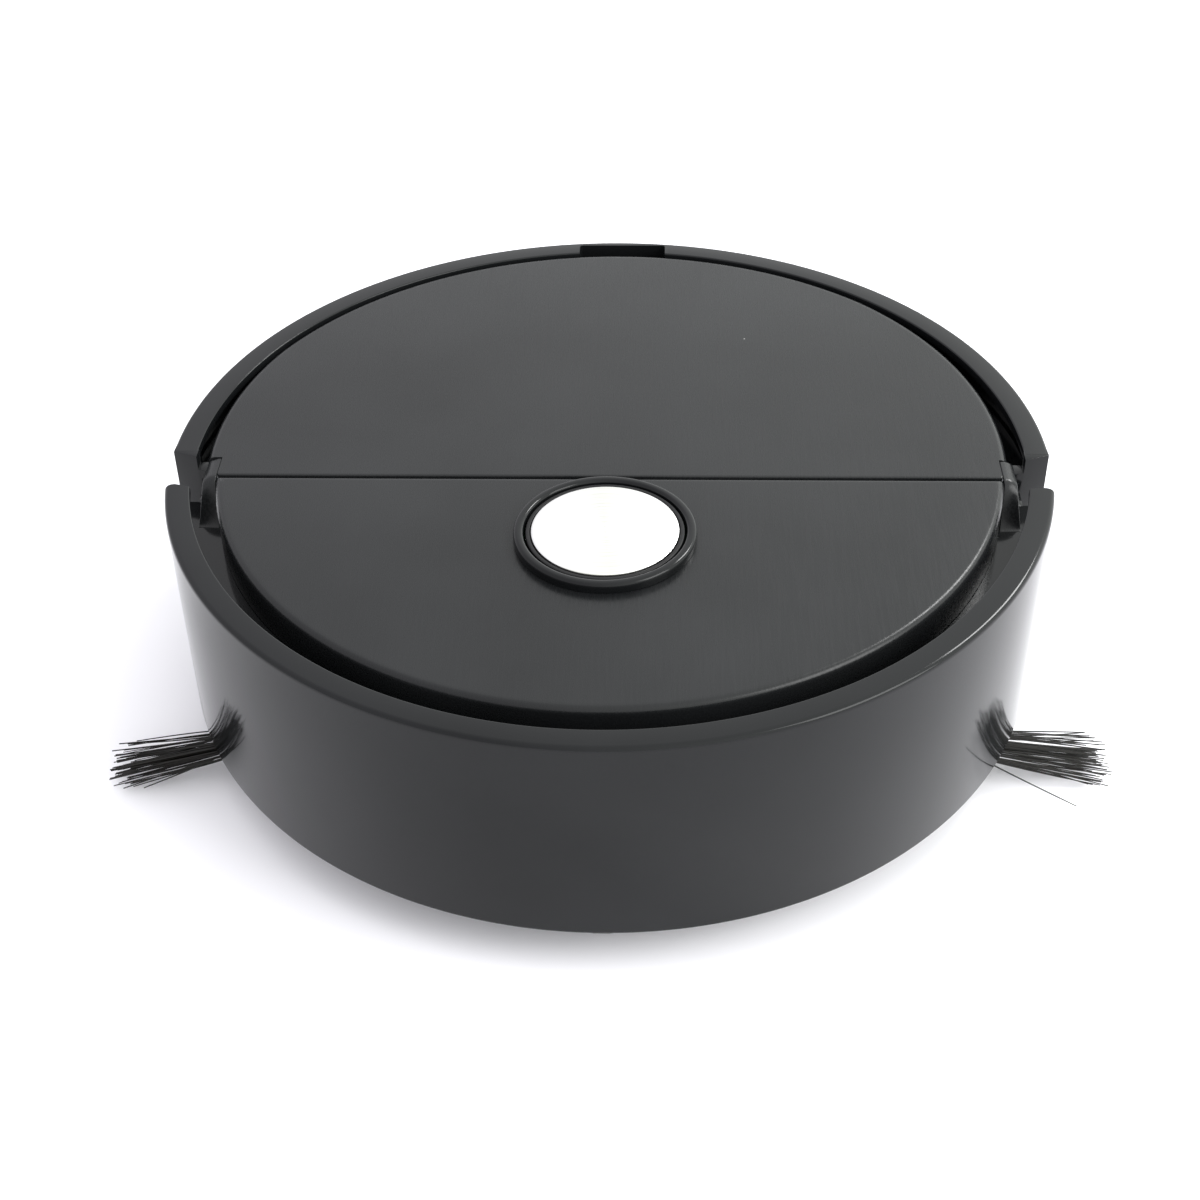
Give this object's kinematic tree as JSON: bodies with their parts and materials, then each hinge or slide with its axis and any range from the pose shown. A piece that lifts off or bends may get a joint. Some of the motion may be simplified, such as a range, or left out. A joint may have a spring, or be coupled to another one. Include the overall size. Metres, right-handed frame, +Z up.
{
  "type": "robot vacuum",
  "caption": "Small round robot vacuum with a floating front bumper, hinged half-round bin lid, a round metal button, side brushes, drive wheels and a front caster.",
  "frame": {"origin": "on the floor below the centre of the round body", "axes": "+Z up, -Y the driving direction (bumper side), +X to the right when facing the bumper"},
  "size_m": [0.2868, 0.25, 0.081],
  "materials": {
    "shell_black": "satin black moulded plastic",
    "deck_black": "fine brushed satin black plastic",
    "inner_black": "matte black moulded plastic",
    "spun_metal": "concentric spun finish",
    "spring_steel": "drawn wire",
    "motor_can": "plated steel can",
    "bristle": "black nylon bristle",
    "tyre_rubber": "ribbed rubber",
    "flap_rubber": "thin silicone",
    "board_green": "circuit board",
    "smoke_plastic": "smoked plastic",
    "filter_paper": "pleated paper",
    "battery_wrap": "shrink wrap"
  },
  "bodies": {
    "chassis": {"base_shell": "inner_black", "rear_housing": "shell_black", "upper_frame": "shell_black", "front_deck": "deck_black", "button_bezel": "shell_black", "button_spring": "spring_steel", "button_switch": "inner_black", "control_board": "board_green", "suction_duct": "inner_black", "dustbin": "smoke_plastic", "dustbin_cover": "smoke_plastic", "filter_frame": "inner_black", "filter_pleats": "filter_paper", "fan_housing": "inner_black", "fan_motor": "motor_can", "battery_pack": "battery_wrap", "battery_door": "inner_black", "charging_socket": "inner_black", "lid_hinge_pin_left": "spring_steel", "bumper_spring_left": "spring_steel", "bumper_switch_left": "inner_black", "gear_case_pin_left": "spring_steel", "suspension_spring_left": "spring_steel", "brush_motor_left": "motor_can", "cliff_sensor_left": "smoke_plastic", "lid_hinge_pin_right": "spring_steel", "bumper_spring_right": "spring_steel", "bumper_switch_right": "inner_black", "gear_case_pin_right": "spring_steel", "suspension_spring_right": "spring_steel", "brush_motor_right": "motor_can", "cliff_sensor_right": "smoke_plastic"},
    "bumper": {"bumper": "shell_black"},
    "lid": {"rear_lid": "deck_black"},
    "button": {"button_carrier": "inner_black", "button_disc": "spun_metal"},
    "inlet_flap": {"inlet_flap": "flap_rubber"},
    "fan_rotor": {"fan_impeller": "inner_black"},
    "caster": {"caster_fork": "inner_black", "caster_axle": "spring_steel"},
    "caster_roller": {"caster_wheel": "tyre_rubber"},
    "drive_arm_left": {"gear_case_left": "inner_black", "drive_motor_left": "motor_can"},
    "wheel_left": {"wheel_axle_left": "spring_steel", "wheel_hub_left": "inner_black", "drive_tyre_left": "tyre_rubber"},
    "brush_left": {"brush_hub_left": "inner_black", "brush_bristles_left": "bristle", "brush_screw_left": "spring_steel"},
    "drive_arm_right": {"gear_case_right": "inner_black", "drive_motor_right": "motor_can"},
    "wheel_right": {"wheel_axle_right": "spring_steel", "wheel_hub_right": "inner_black", "drive_tyre_right": "tyre_rubber"},
    "brush_right": {"brush_hub_right": "inner_black", "brush_bristles_right": "bristle", "brush_screw_right": "spring_steel"}
  },
  "joints": [
    {"name": "bumper_press", "type": "slide", "parent": "chassis", "child": "bumper", "axis": [0, 1, 0], "range_m": [0, 0.004], "stiffness_N_per_m": 400, "springref_m": -0.002, "deforming": ["bumper_spring_left", "bumper_spring_right"]},
    {"name": "lid_hinge", "type": "hinge", "parent": "chassis", "child": "lid", "pos_m": [0, -0.0096, 0.076], "axis": [1, 0, 0], "range_deg": [0, 85]},
    {"name": "button_press", "type": "slide", "parent": "chassis", "child": "button", "axis": [0, 0, -1], "range_m": [0, 0.001], "stiffness_N_per_m": 500, "springref_m": -0.0015, "deforming": ["button_spring"]},
    {"name": "inlet_flap_swing", "type": "hinge", "parent": "chassis", "child": "inlet_flap", "pos_m": [0, 0.0127, 0.036], "axis": [1, 0, 0], "range_deg": [0, 60]},
    {"name": "fan_spin", "type": "hinge", "parent": "chassis", "child": "fan_rotor", "pos_m": [0, 0.1, 0.0415], "axis": [0, 1, 0], "continuous": true},
    {"name": "caster_swivel", "type": "hinge", "parent": "chassis", "child": "caster", "pos_m": [0, -0.099, 0.02], "axis": [0, 0, 1], "continuous": true},
    {"name": "caster_roll", "type": "hinge", "parent": "caster", "child": "caster_roller", "pos_m": [0, -0.1075, 0.008], "axis": [1, 0, 0], "continuous": true},
    {"name": "drive_arm_drop_left", "type": "hinge", "parent": "chassis", "child": "drive_arm_left", "pos_m": [-0.057, -0.012, 0.028], "axis": [-1, 0, 0], "range_deg": [0, 10], "stiffness_Nm_per_rad": 0.15, "springref_deg": 20.05, "deforming": ["suspension_spring_left"]},
    {"name": "wheel_spin_left", "type": "hinge", "parent": "drive_arm_left", "child": "wheel_left", "pos_m": [-0.075, 0.022, 0.024], "axis": [1, 0, 0], "continuous": true},
    {"name": "brush_spin_left", "type": "hinge", "parent": "chassis", "child": "brush_left", "pos_m": [-0.095, -0.047, 0.012], "axis": [0, 0, 1], "continuous": true},
    {"name": "drive_arm_drop_right", "type": "hinge", "parent": "chassis", "child": "drive_arm_right", "pos_m": [0.057, -0.012, 0.028], "axis": [-1, 0, 0], "range_deg": [0, 10], "stiffness_Nm_per_rad": 0.15, "springref_deg": 20.05, "deforming": ["suspension_spring_right"]},
    {"name": "wheel_spin_right", "type": "hinge", "parent": "drive_arm_right", "child": "wheel_right", "pos_m": [0.075, 0.022, 0.024], "axis": [1, 0, 0], "continuous": true},
    {"name": "brush_spin_right", "type": "hinge", "parent": "chassis", "child": "brush_right", "pos_m": [0.095, -0.047, 0.012], "axis": [0, 0, 1], "continuous": true}
  ]
}
